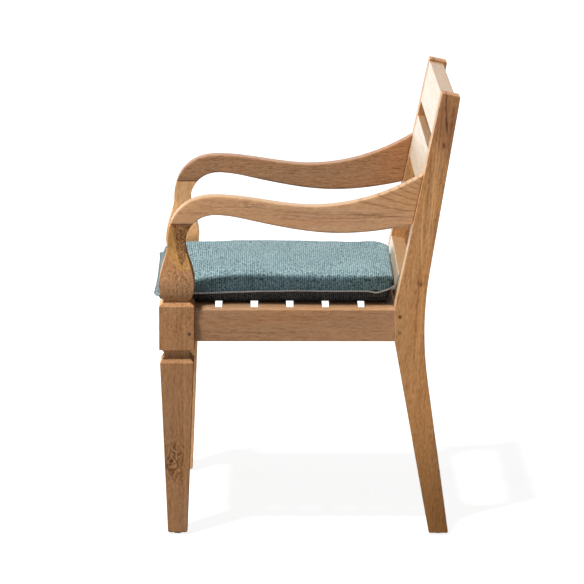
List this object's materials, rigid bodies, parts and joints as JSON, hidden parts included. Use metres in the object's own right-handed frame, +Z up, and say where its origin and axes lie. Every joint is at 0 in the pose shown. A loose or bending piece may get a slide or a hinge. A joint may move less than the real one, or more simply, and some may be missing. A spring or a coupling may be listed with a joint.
{
  "type": "outdoor armchair",
  "caption": "Teak outdoor armchair with serpentine arms on baluster front legs, raked back boards, slatted seat and a loose woven seat cushion that lifts off.",
  "frame": {"origin": "on the floor, under the middle of the chair's box", "axes": "+Z up, +X towards the sitter's left, -Y the way the chair faces"},
  "size_m": [0.58, 0.597, 0.8835],
  "materials": {
    "teak": "sanded reclaimed teak, oiled, open grain",
    "peg_wood": "end grain, darker than the frame",
    "screw_steel": "plain stainless",
    "glide_nylon": "moulded, matte",
    "upper_fabric": "ribbed woven outdoor fabric, blue-green",
    "lower_fabric": "woven outdoor fabric, anthracite",
    "flange_edging": "overlocked edge, light grey thread",
    "foam": "open foam, hidden"
  },
  "bodies": {
    "chair_frame": {"front_leg_left": "teak", "front_leg_right": "teak", "rear_leg_left": "teak", "rear_leg_right": "teak", "arm_left": "teak", "arm_right": "teak", "seat_rail_front": "teak", "seat_rail_rear": "teak", "seat_rail_left": "teak", "seat_rail_right": "teak", "back_board_top": "teak", "back_board_middle": "teak", "back_board_low": "teak", "seat_slat_1": "teak", "seat_slat_2": "teak", "seat_slat_3": "teak", "seat_slat_4": "teak", "seat_slat_5": "teak", "seat_slat_6": "teak", "slat_cleat_left": "teak", "slat_cleat_right": "teak", "arm_dowel_left": "peg_wood", "arm_dowel_right": "peg_wood", "peg_front_left_low": "peg_wood", "peg_front_left_high": "peg_wood", "peg_front_right_low": "peg_wood", "peg_front_right_high": "peg_wood", "peg_rear_left_low": "peg_wood", "peg_rear_left_high": "peg_wood", "peg_rear_right_low": "peg_wood", "peg_rear_right_high": "peg_wood", "slat_screw_left_1": "screw_steel", "slat_screw_left_2": "screw_steel", "slat_screw_left_3": "screw_steel", "slat_screw_left_4": "screw_steel", "slat_screw_left_5": "screw_steel", "slat_screw_left_6": "screw_steel", "slat_screw_right_1": "screw_steel", "slat_screw_right_2": "screw_steel", "slat_screw_right_3": "screw_steel", "slat_screw_right_4": "screw_steel", "slat_screw_right_5": "screw_steel", "slat_screw_right_6": "screw_steel", "cleat_screw_left_1": "screw_steel", "cleat_screw_left_2": "screw_steel", "cleat_screw_right_1": "screw_steel", "cleat_screw_right_2": "screw_steel", "glide_front_left": "glide_nylon", "glide_front_right": "glide_nylon", "glide_rear_left": "glide_nylon", "glide_rear_right": "glide_nylon"},
    "cushion": {"cushion_top_cover": "upper_fabric", "cushion_base_cover": "lower_fabric", "cushion_flange": "flange_edging", "cushion_foam_core": "foam"}
  },
  "joints": [
    {"name": "cushion_lift", "type": "slide", "parent": "chair_frame", "child": "cushion", "axis": [0, 0, 1], "range_m": [0, 0.45]}
  ]
}
